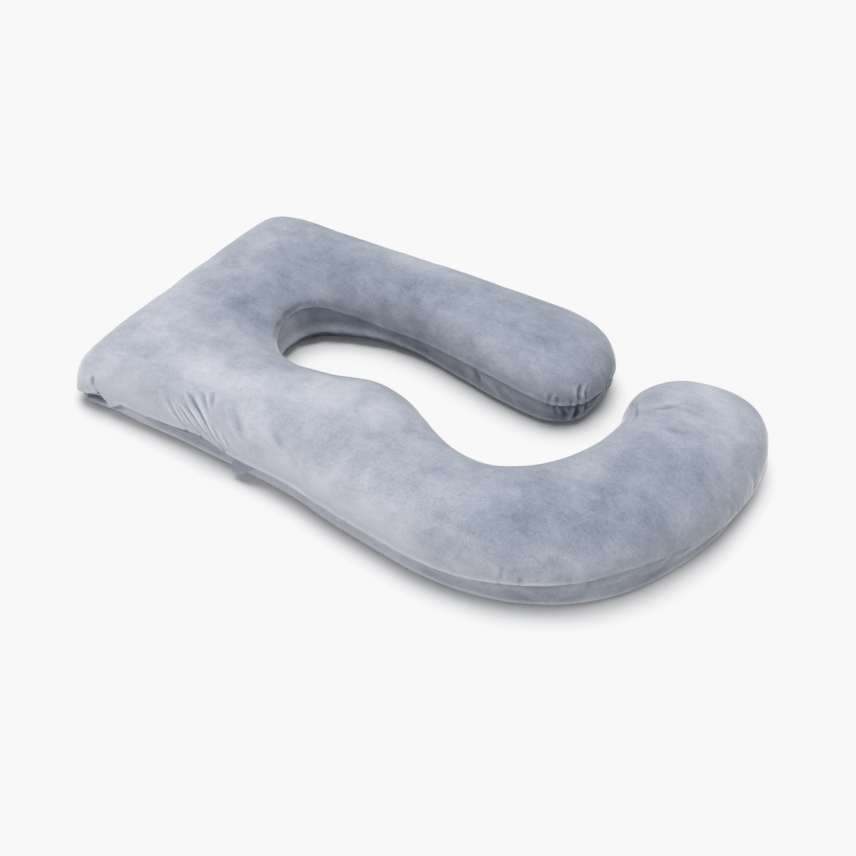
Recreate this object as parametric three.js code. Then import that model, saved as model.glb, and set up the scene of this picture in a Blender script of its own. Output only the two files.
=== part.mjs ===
// A U-shaped body pillow with one straight short arm and one long curved leg, lying on the floor.
// Millimetres, +Z up, floor at Z = 0. X runs from the head (-X) to the foot (+X), the long leg is at -Y.

import * as THREE from "three";

// Ribs are sections across the pillow, from the tip of the short arm round the head to the tip of the leg.
// Each rib runs from the seam round the gap (inner) to the seam round the outside (outer), seen from above.
// crown is the height of the top panel, seam heights are where it meets the under panel, and under is the
// height of the underside. dome is the power of the top's curve: more is fuller, less falls away sooner.
// steps is the number of sections up to the next rib.
const RIB_COLUMNS = [
  "name", "innerX", "innerY", "outerX", "outerY",
  "crown", "innerSeam", "outerSeam", "under", "dome", "steps",
];
const RIB_ROWS = [
  ["armEnd", 331, 259, 331, 287, 70, 64, 64, 57, 2.2, 2],
  ["armNose", 327, 228, 326, 314, 86, 64, 64, 38, 2.2, 3],
  ["armTip", 320, 199, 316, 342, 104, 64, 63, 21, 2.2, 4],
  ["armSoft", 308, 172, 298, 366, 122, 65, 62, 8, 2.2, 5],
  ["armRound", 286, 151, 275, 387, 140, 66, 60, 1, 2.3, 6],
  ["armCorner", 254, 130, 235, 407, 158, 66, 58, 0, 2.3, 6],
  ["armBody", 210, 123, 168, 420, 166, 69, 58, 0, 2.3, 3],
  ["armFar", 112, 143, 60, 424, 168, 76, 58, 0, 2.3, 3],
  ["armMiddle", 0, 167, -80, 420, 170, 70, 58, 0, 2.3, 3],
  ["armNear", -110, 190, -220, 414, 170, 63, 58, 0, 2.3, 3],
  ["armRoot", -220, 190, -370, 411, 170, 64, 58, 0, 2.4, 3],
  ["gapCorner", -305, 170, -510, 416, 168, 82, 58, 0, 2.5, 3],
  ["backShoulder", -360, 143, -635, 420, 165, 98, 58, 0, 2.4, 3],
  ["backCorner", -386, 112, -695, 398, 165, 104, 58, 0, 2.3, 3],
  ["headBack", -396, 76, -713, 300, 165, 106, 58, 0, 2.5, 4],
  ["headMiddle", -397, 42, -716, 120, 165, 106, 58, 0, 2.5, 4],
  ["headFront", -390, 10, -720, -40, 165, 106, 58, 0, 2.5, 4],
  ["headBulge", -376, -18, -731, -180, 165, 102, 54, 0, 2.3, 4],
  ["frontCorner", -356, -40, -728, -297, 162, 95, 43, 0, 1.6, 4],
  ["frontShoulder", -328, -56, -695, -336, 162, 86, 38, 0, 1.8, 5],
  ["cornerPocket", -315, -60, -630, -336, 164, 83, 55, 0, 2.0, 4],
  ["cornerPinch", -306, -63, -606, -338, 166, 80, 34, 0, 2.1, 3],
  ["cornerLens", -295, -66, -574, -338, 167, 77, 47, 0, 2.2, 2],
  ["legRoot", -283, -69, -540, -339, 168, 74, 45, 0, 2.2, 4],
  ["gatherStart", -235, -75, -430, -339, 170, 66, 57, 0, 2.3, 13],
  ["gatherLip", -193, -70, -338, -342, 171, 63, 68, 0, 2.3, 13],
  ["zipEnd", -150, -62, -250, -349, 172, 60, 54, 0, 2.3, 5],
  ["legSwell", -70, -36, -100, -362, 175, 58, 60, 0, 2.3, 3],
  ["legStraight", 0, -46, 0, -382, 175, 58, 61, 0, 2.3, 3],
  ["legBend1", 70, -82, 80, -394, 175, 58, 62, 0, 2.3, 3],
  ["legBend2", 140, -124, 165, -405, 175, 58, 63, 0, 2.3, 3],
  ["legBend3", 205, -145, 240, -411, 175, 58, 63, 0, 2.3, 3],
  ["legBend4", 265, -143, 330, -406, 175, 58, 64, 0, 2.3, 3],
  ["legBend5", 320, -111, 430, -380, 175, 58, 74, 0, 2.3, 3],
  ["legBend6", 366, -57, 526, -327, 175, 58, 79, 0, 2.3, 3],
  ["legBend7", 396, 4, 608, -243, 175, 58, 86, 0, 2.3, 3],
  ["legBend8", 412, 64, 666, -140, 175, 58, 76, 0, 2.3, 3],
  ["hookRoot", 419, 122, 710, -20, 175, 58, 56, 0, 2.3, 3],
  ["hookNeck", 408, 172, 727, 112, 172, 58, 48, 0, 2.3, 3],
  ["hookBody", 408, 218, 722, 212, 165, 58, 50, 0, 2.3, 4],
  ["hookRound", 432, 268, 690, 287, 148, 58, 54, 0, 2.3, 3],
  ["hookTip", 480, 303, 640, 320, 114, 58, 58, 15, 2.2, 3],
  ["hookNose", 516, 318, 616, 326, 86, 58, 58, 34, 2.2, 2],
  ["hookEnd", 552, 326, 584, 329, 62, 58, 58, 52, 2.2, 1],
];

// The top panel is a dome over each rib. Its points are closer together near the seams.
const DOME_RISE = 2.2;
const TOP_STEPS = 22;
const TOP_CROWDING = 0.35;

// The under panel tucks in just below the seam, then leans in to the floor, less where the seam is high.
const TUCK = 3;
const TUCK_DROP = 2;
const WALL_LEAN = 1750;
const WALL_STEPS = 4;
const WIDEST_FOOT = 0.42;

// Above the zip's end the top panel is drawn towards the head, so its points slip that way as they rise.
const DRAWN = { start: "frontShoulder", full: "gatherStart", until: "zipEnd", end: "legStraight" };
const DRAWN_SLANT = 1.1;
const DRAWN_RISE = 100;
const DRAWN_END = 230;

// Gathers are folds that start at a seam. along is the distance of the fold's foot from the named rib,
// lean how far it slants by its far end, rise its height up (or down) the panel, all along the seam's run
// towards the foot of the leg. width and depth are those of the valley.
const FOLD_COLUMNS = ["along", "lean", "rise", "width", "depth"];

// A fold is narrow at its seam and wider at its far end. It is part deep at the seam and fades out at the end.
const FOLD_SEAM_WIDTH = 0.7;
const FOLD_FAR_WIDTH = 1.2;
const FOLD_FADE_START = 0.25;

const GATHERS = [
  {
    rib: "zipEnd", seam: "outer", panel: "top",
    rows: [
      [-130, -82, 72, 9, 4],
      [-104, -64, 56, 7, 6],
      [-84, -62, 54, 7, 5],
      [-38, -132, 98, 8, 8],
      [-20, -62, 48, 6, 5],
      [-8, -28, 46, 6, 5],
    ],
  },
  {
    rib: "cornerPinch", seam: "outer", panel: "top",
    rows: [
      [-14, -50, 44, 9, 9],
    ],
  },
  {
    rib: "armRound", seam: "inner", panel: "top",
    rows: [
      [-42, 8, 44, 8, 4],
      [-26, 8, 46, 8, 4],
      [10, 0, 36, 8, 4],
    ],
  },
  {
    rib: "armRound", seam: "inner", panel: "under",
    rows: [
      [-25, 0, 60, 8, 5],
      [0, 0, 60, 8, 4],
      [24, 0, 60, 8, 5],
    ],
  },
];

// The flap that covers the end of the zip hangs from the outer seam beside the gathers.
// Its foot is shorter than its top and rises towards the end that points to the leg.
const TAB_LENGTH = 62;
const TAB_FOOT_LENGTH = 32;
const TAB_DROP = 34;
const TAB_FOOT_RISE = 0.25;
const TAB_THICKNESS = 2.4;
const TAB_STAND_OUT = 7;
const TAB_CURL = 1.4;
const TAB_GAP = 0.4;
const TAB_STEPS = { along: 8, down: 6 };

const CLOTH_LOOK = { color: 0xa6adbc, roughness: 0.95, metalness: 0 };
const TAB_LOOK = { color: 0x98a1b2, roughness: 0.95, metalness: 0 };

function named(columns, row) {
  return Object.fromEntries(columns.map((column, index) => [column, row[index]]));
}

const ribs = RIB_ROWS.map((row) => named(RIB_COLUMNS, row));

// Sections spaced along smooth curves through the ribs.
function sectionsAlong() {
  const through = (pick) => new THREE.CatmullRomCurve3(ribs.map(pick), false, "centripetal");
  const innerSeam = through((rib) => new THREE.Vector3(rib.innerX, rib.innerY, rib.innerSeam));
  const outerSeam = through((rib) => new THREE.Vector3(rib.outerX, rib.outerY, rib.outerSeam));
  const heights = through((rib) => new THREE.Vector3(rib.crown, rib.under, rib.dome));
  const sections = [];
  ribs.forEach((rib, index) => {
    const last = index === ribs.length - 1;
    for (let step = 0; step < (last ? 1 : rib.steps); step += 1) {
      const place = (index + step / rib.steps) / (ribs.length - 1);
      const height = heights.getPoint(place);
      sections.push({
        rib: step === 0 ? rib.name : null,
        inner: innerSeam.getPoint(place),
        outer: outerSeam.getPoint(place),
        crown: height.x,
        under: Math.max(0, height.y),
        dome: height.z,
      });
    }
  });
  return sections;
}

// Adds to every section its distance along both seams, the seam's direction and how far it is drawn.
function measureRuns(sections) {
  sections.forEach((section, index) => {
    const before = sections[Math.max(0, index - 1)];
    const after = sections[Math.min(sections.length - 1, index + 1)];
    section.direction = after.outer.clone().sub(before.outer).setZ(0).normalize();
    section.run = Object.fromEntries(["inner", "outer"].map((seam) => {
      const step = section[seam].distanceTo(before[seam]);
      return [seam, (before.run?.[seam] ?? 0) + step];
    }));
  });
  const mark = Object.fromEntries(
    Object.entries(DRAWN).map(([key, rib]) => [key, sectionAt(sections, rib).run.outer]),
  );
  for (const section of sections) {
    const rising = THREE.MathUtils.smoothstep(section.run.outer, mark.start, mark.full);
    const falling = 1 - THREE.MathUtils.smoothstep(section.run.outer, mark.until, mark.end);
    section.draw = rising * falling;
  }
}

function sectionAt(sections, rib) {
  return sections.find((section) => section.rib === rib);
}

// Points of the top panel, from the inner seam over the crown to the outer seam.
function topPanel({ inner, outer, crown, dome }) {
  const points = [];
  for (let step = 0; step <= TOP_STEPS; step += 1) {
    const even = (Math.PI * step) / TOP_STEPS;
    const angle = even - (TOP_CROWDING / 2) * Math.sin(2 * even);
    const side = -Math.sign(Math.cos(angle)) * Math.abs(Math.cos(angle)) ** (2 / dome);
    const point = new THREE.Vector3().lerpVectors(inner, outer, (1 + side) / 2);
    point.z += (crown - point.z) * Math.abs(Math.sin(angle)) ** (2 / DOME_RISE);
    points.push(point);
  }
  return points;
}

// Points of the under panel on one side, from just below the seam to where it meets the floor.
function lowerWall(seam, other, under) {
  const inward = new THREE.Vector3(other.x - seam.x, other.y - seam.y, 0);
  const widest = inward.length() * WIDEST_FOOT;
  inward.normalize();
  const foot = Math.min(WALL_LEAN / seam.z, widest - TUCK);
  const start = seam.z - TUCK_DROP;
  const points = [];
  for (let step = 0; step <= WALL_STEPS; step += 1) {
    const angle = (Math.PI / 2) * (step / WALL_STEPS);
    const inset = TUCK + foot * (1 - Math.cos(angle));
    const point = seam.clone().addScaledVector(inward, inset);
    point.z = step === WALL_STEPS ? under : under + (start - under) * (1 - Math.sin(angle));
    points.push(point);
  }
  return points;
}

// Depth of one fold at a place given by its distance along the seam and up the panel.
function foldDepth(fold, along, rise) {
  const reach = rise / fold.rise;
  if (reach >= 1) return 0;
  const slant = Math.cos(Math.atan2(fold.lean, fold.rise));
  const off = (along - fold.along - fold.lean * reach) * slant;
  const width = fold.width * THREE.MathUtils.lerp(FOLD_SEAM_WIDTH, FOLD_FAR_WIDTH, reach);
  const fade = Math.sin(Math.PI * THREE.MathUtils.lerp(FOLD_FADE_START, 1, reach));
  return fold.depth * fade * Math.exp(-((off / width) ** 2));
}

// How far the drawn top panel has slipped along the seam at a height up the panel.
function slip(draw, rise) {
  const fall = DRAWN_RISE * ((DRAWN_END - rise) / (DRAWN_END - DRAWN_RISE));
  return -draw * DRAWN_SLANT * Math.max(0, Math.min(rise, fall));
}

// Presses a gather's folds into the points that run away from its seam, seam first.
function pressFolds(points, folds, along) {
  const pressed = points.map((point) => point.clone());
  let rise = 0;
  for (let index = 1; index < points.length - 1; index += 1) {
    rise += points[index].distanceTo(points[index - 1]);
    const depth = folds.reduce((sum, fold) => sum + foldDepth(fold, along(rise), rise), 0);
    const tangent = points[index + 1].clone().sub(points[index - 1]);
    const flat = new THREE.Vector3(tangent.x, tangent.y, 0);
    const inward = flat.clone().normalize().multiplyScalar(Math.abs(tangent.z));
    inward.z = -Math.sign(tangent.z) * flat.length();
    pressed[index].addScaledVector(inward.normalize(), depth);
  }
  return pressed;
}

// Slides the drawn stretch of the top panel along the seam's direction, outer seam first.
function drawPanel(points, direction, draw) {
  let rise = 0;
  return points.map((point, index) => {
    rise += index === 0 ? 0 : point.distanceTo(points[index - 1]);
    return point.clone().addScaledVector(direction, slip(draw, rise));
  });
}

// Closed ring of one section: the top panel, then the under panel back to the inner seam.
function ringOf(section, gathers) {
  let top = topPanel(section).toReversed();
  let innerWall = lowerWall(section.inner, section.outer, section.under);
  const outerWall = lowerWall(section.outer, section.inner, section.under);
  for (const { seam, panel, folds, start } of gathers) {
    const along = section.run[seam] - start;
    if (seam === "outer") {
      top = pressFolds(top, folds, (rise) => along + slip(section.draw, rise));
    } else if (panel === "top") {
      top = pressFolds(top.toReversed(), folds, () => along).toReversed();
    } else {
      innerWall = pressFolds(innerWall, folds, () => along);
    }
  }
  top = drawPanel(top, section.direction, section.draw).toReversed();
  return [...top, ...outerWall, ...innerWall.toReversed()];
}

// One closed skin over all the rings, with a fan of triangles at each tip.
function skin(rings) {
  const size = rings[0].length;
  const positions = rings.flat().flatMap((point) => point.toArray());
  const triangles = [];
  for (let ring = 0; ring < rings.length - 1; ring += 1) {
    for (let spot = 0; spot < size; spot += 1) {
      const next = (spot + 1) % size;
      const [a, b] = [ring * size + spot, ring * size + next];
      const [c, d] = [a + size, b + size];
      triangles.push(a, b, d, a, d, c);
    }
  }
  const tips = [[rings[0], 0], [rings.at(-1), (rings.length - 1) * size]];
  tips.forEach(([ring, first], tip) => {
    const middle = ring.reduce((sum, point) => sum.add(point), new THREE.Vector3()).divideScalar(size);
    const centre = positions.length / 3;
    positions.push(...middle.toArray());
    for (let spot = 0; spot < size; spot += 1) {
      const edge = [first + spot, first + ((spot + 1) % size)];
      triangles.push(centre, ...(tip === 0 ? edge.toReversed() : edge));
    }
  });
  const geometry = new THREE.BufferGeometry();
  geometry.setAttribute("position", new THREE.Float32BufferAttribute(positions, 3));
  geometry.setIndex(triangles);
  geometry.computeVertexNormals();
  return geometry;
}

function pillow(sections) {
  const gathers = GATHERS.map(({ rib, seam, panel, rows }) => ({
    seam,
    panel,
    folds: rows.map((row) => named(FOLD_COLUMNS, row)),
    start: sectionAt(sections, rib).run[seam],
  }));
  const rings = sections.map((section) => ringOf(section, gathers));
  const mesh = new THREE.Mesh(skin(rings), new THREE.MeshStandardMaterial(CLOTH_LOOK));
  mesh.name = "pillow";
  return mesh;
}

// The flap is a plate that narrows downwards and stands out from the pillow at its foot.
function zipTab(sections) {
  const { along, down } = TAB_STEPS;
  const geometry = new THREE.BoxGeometry(TAB_LENGTH, TAB_THICKNESS, TAB_DROP, along, 1, down);
  const places = geometry.getAttribute("position");
  const narrowing = 1 - TAB_FOOT_LENGTH / TAB_LENGTH;
  for (let index = 0; index < places.count; index += 1) {
    const fall = 0.5 - places.getZ(index) / TAB_DROP;
    const share = 0.5 + places.getX(index) / TAB_LENGTH;
    const length = share * TAB_LENGTH * (1 - narrowing * fall);
    const standOut = TAB_GAP + TAB_THICKNESS / 2 + TAB_STAND_OUT * fall ** TAB_CURL;
    const drop = TAB_DROP * fall * (1 - TAB_FOOT_RISE * share);
    places.setXYZ(index, length, places.getY(index) - standOut, -drop);
  }
  geometry.computeVertexNormals();
  const { outer: seam, direction } = sectionAt(sections, "zipEnd");
  const mesh = new THREE.Mesh(geometry, new THREE.MeshStandardMaterial(TAB_LOOK));
  mesh.name = "zip_tab";
  mesh.position.copy(seam);
  mesh.rotation.z = Math.atan2(direction.y, direction.x);
  return mesh;
}

const sections = sectionsAlong();
measureRuns(sections);

const part = new THREE.Group();
part.add(pillow(sections));
part.add(zipTab(sections));

// The origin is on the floor under the middle of the whole pillow.
const middle = new THREE.Box3().setFromObject(part).getCenter(new THREE.Vector3());
part.position.set(-middle.x, -middle.y, 0);

export default part;
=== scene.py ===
"""Plush cover of a U-shaped body pillow, the flap over the end of its zip and a pale studio.

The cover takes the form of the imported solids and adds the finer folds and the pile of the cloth.
"""

import math

import bpy
import numpy as np
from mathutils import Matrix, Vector


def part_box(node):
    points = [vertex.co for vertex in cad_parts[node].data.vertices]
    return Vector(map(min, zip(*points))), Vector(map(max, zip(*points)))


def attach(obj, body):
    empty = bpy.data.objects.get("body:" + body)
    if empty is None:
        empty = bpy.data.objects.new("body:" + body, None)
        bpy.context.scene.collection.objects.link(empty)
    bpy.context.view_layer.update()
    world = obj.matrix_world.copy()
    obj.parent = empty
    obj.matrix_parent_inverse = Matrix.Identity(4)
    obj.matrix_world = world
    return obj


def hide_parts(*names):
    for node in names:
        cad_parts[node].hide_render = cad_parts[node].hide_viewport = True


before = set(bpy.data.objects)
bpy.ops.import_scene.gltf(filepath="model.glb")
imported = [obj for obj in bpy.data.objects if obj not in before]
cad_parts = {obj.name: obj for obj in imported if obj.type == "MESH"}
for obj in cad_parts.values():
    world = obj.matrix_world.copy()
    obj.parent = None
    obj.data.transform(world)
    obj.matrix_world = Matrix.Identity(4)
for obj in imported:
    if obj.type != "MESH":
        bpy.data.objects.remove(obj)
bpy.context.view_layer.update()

bl_info = {
    "name": "Plush body pillow",
    "version": (1, 0, 0),
    "blender": (4, 5, 0),
    "location": "3D View > Sidebar > Pillow",
    "description": "Builds a plush U-shaped body pillow with its zip flap in a pale studio",
    "category": "Add Mesh",
}

MM = 0.001
TINY = 1e-9


def table(columns, *rows):
    """Rows of plain values, each as a dict under the columns' names."""
    return [dict(zip(columns, row)) for row in rows]


# Ribs across the pillow in millimetres, from the tip of the short arm round the head to the tip of
# the leg. Each runs from the seam round the gap (inner) to the seam round the outside (outer).
# crown is the height of the top panel, under that of the underside, and dome the power of the top's
# curve: more is fuller.
RIBS = table(
    (
        "name", "inner_x", "inner_y", "outer_x", "outer_y",
        "crown", "inner_seam", "outer_seam", "under", "dome",
    ),
    ("arm_end", 331, 259, 331, 287, 70, 64, 64, 57, 2.2),
    ("arm_nose", 327, 228, 326, 314, 86, 64, 64, 38, 2.2),
    ("arm_tip", 320, 199, 316, 342, 104, 64, 63, 21, 2.2),
    ("arm_soft", 308, 172, 298, 366, 122, 65, 62, 8, 2.2),
    ("arm_round", 286, 151, 275, 387, 140, 66, 60, 1, 2.3),
    ("arm_corner", 252, 133, 235, 407, 158, 68, 58, 0, 2.3),
    ("arm_body", 205, 131, 168, 420, 166, 72, 58, 0, 2.3),
    ("arm_far", 112, 143, 60, 424, 168, 76, 58, 0, 2.3),
    ("arm_middle", 0, 167, -80, 420, 170, 70, 58, 0, 2.3),
    ("arm_near", -110, 190, -220, 414, 170, 63, 58, 0, 2.3),
    ("arm_root", -220, 190, -370, 411, 170, 64, 58, 0, 2.4),
    ("gap_corner", -305, 170, -510, 416, 168, 82, 58, 0, 2.5),
    ("back_shoulder", -360, 143, -635, 420, 165, 98, 58, 0, 2.4),
    ("back_corner", -386, 112, -695, 398, 165, 104, 58, 0, 2.3),
    ("head_back", -396, 76, -713, 300, 165, 106, 58, 0, 2.5),
    ("head_middle", -397, 42, -716, 120, 165, 106, 58, 0, 2.5),
    ("head_front", -390, 10, -720, -40, 165, 106, 58, 0, 2.5),
    ("head_bulge", -376, -18, -731, -180, 165, 102, 54, 0, 2.3),
    ("front_corner", -356, -40, -728, -297, 162, 95, 43, 0, 1.6),
    ("front_shoulder", -328, -56, -695, -336, 162, 86, 38, 0, 1.8),
    ("corner_pocket", -315, -60, -630, -336, 164, 83, 55, 0, 2.0),
    ("corner_pinch", -306, -63, -606, -338, 166, 80, 34, 0, 2.1),
    ("corner_lens", -295, -66, -574, -338, 167, 77, 54, 0, 2.2),
    ("leg_root", -283, -69, -540, -339, 168, 74, 52, 0, 2.2),
    ("gather_start", -235, -75, -430, -339, 170, 66, 57, 0, 2.3),
    ("gather_lip", -193, -70, -338, -342, 171, 63, 68, 0, 2.3),
    ("zip_end", -150, -62, -250, -349, 172, 60, 54, 0, 2.3),
    ("leg_swell", -70, -36, -100, -362, 175, 58, 60, 0, 2.3),
    ("leg_straight", 0, -46, 0, -382, 175, 58, 61, 0, 2.3),
    ("leg_bend_1", 70, -82, 80, -394, 175, 58, 62, 0, 2.3),
    ("leg_bend_2", 140, -124, 165, -405, 175, 58, 63, 0, 2.3),
    ("leg_bend_3", 205, -145, 240, -411, 175, 58, 63, 0, 2.3),
    ("leg_bend_4", 265, -143, 330, -406, 175, 58, 64, 0, 2.3),
    ("leg_bend_5", 320, -111, 430, -380, 175, 58, 74, 0, 2.3),
    ("leg_bend_6", 366, -57, 526, -327, 175, 58, 79, 0, 2.3),
    ("leg_bend_7", 396, 4, 608, -243, 175, 58, 86, 0, 2.3),
    ("leg_bend_8", 412, 64, 666, -140, 175, 58, 76, 0, 2.3),
    ("hook_root", 419, 122, 710, -20, 175, 58, 56, 0, 2.3),
    ("hook_neck", 408, 172, 727, 112, 172, 58, 48, 0, 2.3),
    ("hook_body", 408, 218, 722, 212, 165, 58, 50, 0, 2.3),
    ("hook_round", 432, 268, 690, 287, 148, 58, 54, 0, 2.3),
    ("hook_tip", 480, 303, 640, 320, 114, 58, 58, 15, 2.2),
    ("hook_nose", 516, 318, 616, 326, 86, 58, 58, 34, 2.2),
    ("hook_end", 552, 326, 584, 329, 62, 58, 58, 52, 2.2),
)

# Place of each rib in the run. The curve through the ribs steps by a power of their distance, and
# points closer than SAME_PLACE count as one.
RIB_PLACE = {rib["name"]: place for place, rib in enumerate(RIBS)}
CURVE_POWER = 0.5
SAME_PLACE = 1e-3

# Points round one ring: over the top panel, down the outer wall, across the floor and up the inner
# wall.
TOP_STEPS = 88
TOP_CROWDING = 0.5
DOME_RISE = 2.2
WALL_STEPS = 15
FLOOR_POINTS = 3
INNER_SEAM = 0
OUTER_SEAM = TOP_STEPS
TOP_PANEL = slice(INNER_SEAM, OUTER_SEAM + 1)
OUTER_WALL = slice(OUTER_SEAM + 1, OUTER_SEAM + WALL_STEPS + 2)
FLOOR = slice(OUTER_WALL.stop, OUTER_WALL.stop + FLOOR_POINTS)
INNER_WALL = slice(FLOOR.stop, FLOOR.stop + WALL_STEPS + 1)

# The under panel tucks in just below the seam, then leans in to the floor, less where the seam is
# high. It is hollow between the seam and a roll along its foot. The hollow is for a seam of plain
# height and is less below a higher one.
TUCK = 4.0
TUCK_DROP = 2.5
WALL_LEAN = 1750
WIDEST_FOOT = 0.42
HOLLOW = 9.0
HOLLOW_PLACE = 0.5
HOLLOW_SPREAD = 0.26
PLAIN_SEAM = 58
ROLL_HEIGHT = 10
ROLL_SPREAD = 5.0
ROLL_GROWTH = 0.25

# Stretches from one rib to another. edge is how sharp the seam is there and how strong its painted
# lip highlight and painted groove shade are, roll how high the roll along the foot lies where it
# lifts off the floor, and proud how far the roll stands out, on the wall round the gap and on the outer
# one.
PLAIN_SIDE = {"edge": 1, "roll": ROLL_HEIGHT, "proud": 5}
SIDES = table(
    (
        "first", "last", "inner_edge", "inner_roll", "inner_proud",
        "outer_edge", "outer_roll", "outer_proud",
    ),
    ("arm_end", "arm_corner", 1, 16, 9, 1, 10, 5),
    ("arm_corner", "arm_near", 0.65, 14, 7, 1, 10, 5),
    ("arm_near", "arm_root", 0.4, 28, 16, 1, 10, 5),
    ("arm_root", "back_corner", 0.3, 35, 20, 1, 10, 5),
    ("back_corner", "head_front", 1, 31, 17, 1, 10, 5),
    ("head_front", "head_bulge", 1, 20, 9, 1, 10, 5),
    ("head_bulge", "front_corner", 1, 12, 5, 1.2, 13, 6),
    ("front_corner", "leg_root", 1, 12, 5, 1.9, 14, 7),
    ("leg_root", "zip_end", 1, 12, 5, 1.4, 14, 8),
    ("zip_end", "leg_bend_3", 1, 12, 5, 1.7, 9, 7),
    ("leg_bend_3", "leg_bend_6", 1, 10, 5, 1.4, 8, 6),
    ("leg_bend_6", "hook_neck", 1, 10, 5, 0.55, 10, 5),
)

# Distance between rings, and stretches from one rib to another where the folds need them closer.
# crowding draws the steps over the top panel together at both seams, or in the middle if negative,
# and gathered beside the outer seam.
RING_SPACING = 7.6
RING_ZONES = table(
    ("first", "last", "spacing", "crowding", "gathered"),
    ("arm_end", "arm_corner", 2.8, 0.5, 0),
    ("arm_corner", "arm_middle", 4.4, 0.5, 0),
    ("head_bulge", "leg_root", 2.1, 0.5, 0.4),
    ("leg_root", "gather_start", 1.9, 0.5, 1),
    ("gather_start", "zip_end", 1.5, 0.5, 1),
    ("zip_end", "leg_swell", 2.6, 0.5, 0.7),
    ("leg_bend_4", "leg_bend_6", 3.6, 0.5, 0),
    ("leg_bend_8", "hook_round", 3.2, -0.5, 0),
    ("hook_round", "hook_end", 3.4, 0.2, 0),
)

# Places at which zones are read between two ribs, and how many of them a zone takes to ease into
# the next.
PLACES_PER_RIB = 60
ZONE_EASE = 60

# Where the ribs fan out, the top panel is eased along its run, clear of the outer seam.
CALM_ZONES = table(
    ("first", "last", "share"),
    ("head_middle", "gather_start", 1),
)
CALM_ROUNDS = 300
CALM_CLEAR = 70

# Rings that close each end, how far they bulge out, and the size of the last one.
CAP_RINGS = 5
CAP_REACH = 4
CAP_LEAST = 0.04

# Share of the steps taken, and the angle reached over the top panel, where it is gathered.
GATHERED_SHARES = (0, 0.05, 0.12, 0.36, 1)
GATHERED_ANGLES = (0, 0.06, 0.3, 2.15, math.pi)

# Folds in millimetres. along is how far the fold's foot lies from the rib, along the seam towards
# the foot of the leg. start is its height above the seam (below it on a wall), rise its length up
# the panel, lean how far it slants by its end, and bow bends it: under 1 it slants first. depth is
# that of the valley, a ridge if negative.
FOLDS = table(
    ("rib", "seam", "panel", "along", "start", "lean", "rise", "width", "depth", "bow"),
    ("zip_end", "outer", "top", -129, 0, -83, 72, 5, 3.5, 1),
    ("zip_end", "outer", "top", -106, 1, -84, 66, 2.8, 3, 1),
    ("zip_end", "outer", "top", -87, 0, -82, 60, 3.2, 5, 1),
    ("zip_end", "outer", "top", -72, 2, -90, 62, 2.8, 3.5, 1),
    ("zip_end", "outer", "top", -56, 2, -98, 62, 3.2, 5.5, 1),
    ("zip_end", "outer", "top", -38, 1, -118, 78, 2.8, 4, 1),
    ("zip_end", "outer", "top", -21, 0, -153, 98, 3.8, 8, 1),
    ("zip_end", "outer", "top", -12, 8, -60, 38, 3, 5, 1),
    ("zip_end", "outer", "top", 5, 2, -38, 42, 4, 4, 1),
    ("zip_end", "outer", "top", -84, 58, -58, 48, 5, 4, 1),
    ("zip_end", "outer", "top", -82, 70, -34, 42, 5, 4, 1),
    ("zip_end", "outer", "top", 21, 48, -46, 52, 11, 2.5, 1),
    ("zip_end", "outer", "top", 125, 66, -56, 40, 11, 2.5, 1),
    ("corner_pinch", "outer", "top", -16, 0, -50, 50, 5, 12, 0.3),
    ("corner_pocket", "outer", "under", -14, 0, -14, 42, 14, 13, 1),
    ("leg_root", "outer", "under", -2, 0, 0, 18, 22, 11, 1),
    ("arm_round", "inner", "top", -47, 0, 11, 34, 4, 4, 1),
    ("arm_round", "inner", "top", -26, 0, 7, 52, 4.5, 7, 1),
    ("arm_round", "inner", "top", -9, 0, 2, 14, 3.5, 3, 1),
    ("arm_round", "inner", "top", 22, 0, 3, 24, 4.5, 4, 1),
    ("arm_round", "inner", "top", 43, 0, -4, 30, 4.5, 4, 1),
    ("arm_round", "inner", "under", -46, 0, 8, 40, 4, 4, 1),
    ("arm_round", "inner", "under", -25, 0, 12, 60, 5, 10, 1),
    ("arm_round", "inner", "under", -4, 0, 2, 34, 4, 4, 1),
    ("arm_round", "inner", "under", 14, 0, -8, 60, 5.5, 6, 1),
    ("arm_round", "inner", "under", 31, 0, -3, 46, 4, 3.5, 1),
    ("arm_far", "inner", "under", 32, 4, -42, 62, 6, -7, 1),
    ("arm_far", "inner", "under", 70, 4, -22, 46, 8, 5, 1),
    ("arm_far", "inner", "under", -20, 6, -40, 56, 5, -3.5, 1),
    ("leg_bend_1", "outer", "top", -16, 0, -4, 30, 6, 4, 1),
    ("leg_bend_5", "outer", "top", -24, 0, 5, 44, 5, 3, 1),
    ("leg_bend_5", "outer", "top", 14, 0, 4, 20, 5, 2.5, 1),
    ("leg_bend_5", "outer", "top", 107, 0, -2, 20, 5, 2.5, 1),
    ("leg_bend_5", "outer", "under", -24, 0, 0, 26, 7, 5, 1),
    ("front_corner", "outer", "top", -4, 0, 0, 100, 42, -5, 1),
    ("leg_bend_6", "outer", "under", 37, 0, 4, 44, 6, 3, 1),
    ("hook_neck", "inner", "top", -8, 80, -56, 32, 5, 4.5, 1),
    ("hook_neck", "inner", "top", 14, 52, -30, 26, 5, 4, 1),
    ("hook_neck", "inner", "top", -25, 134, 28, 58, 5, 4, 1),
    ("hook_neck", "inner", "top", -46, 192, 11, 52, 6, 1.6, 1),
)

# A fold is narrow at its seam and wider at its far end, where it dies away, with a low ridge on
# both sides.
FOLD_SEAM_WIDTH = 0.75
FOLD_FAR_WIDTH = 1.2
FOLD_FADE_START = 0.14
FOLD_BEND_START = 0.03
FOLD_SHARPNESS = 1.45
RIDGE_SHARE = 0.45
RIDGE_PLACE = 1.8

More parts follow.
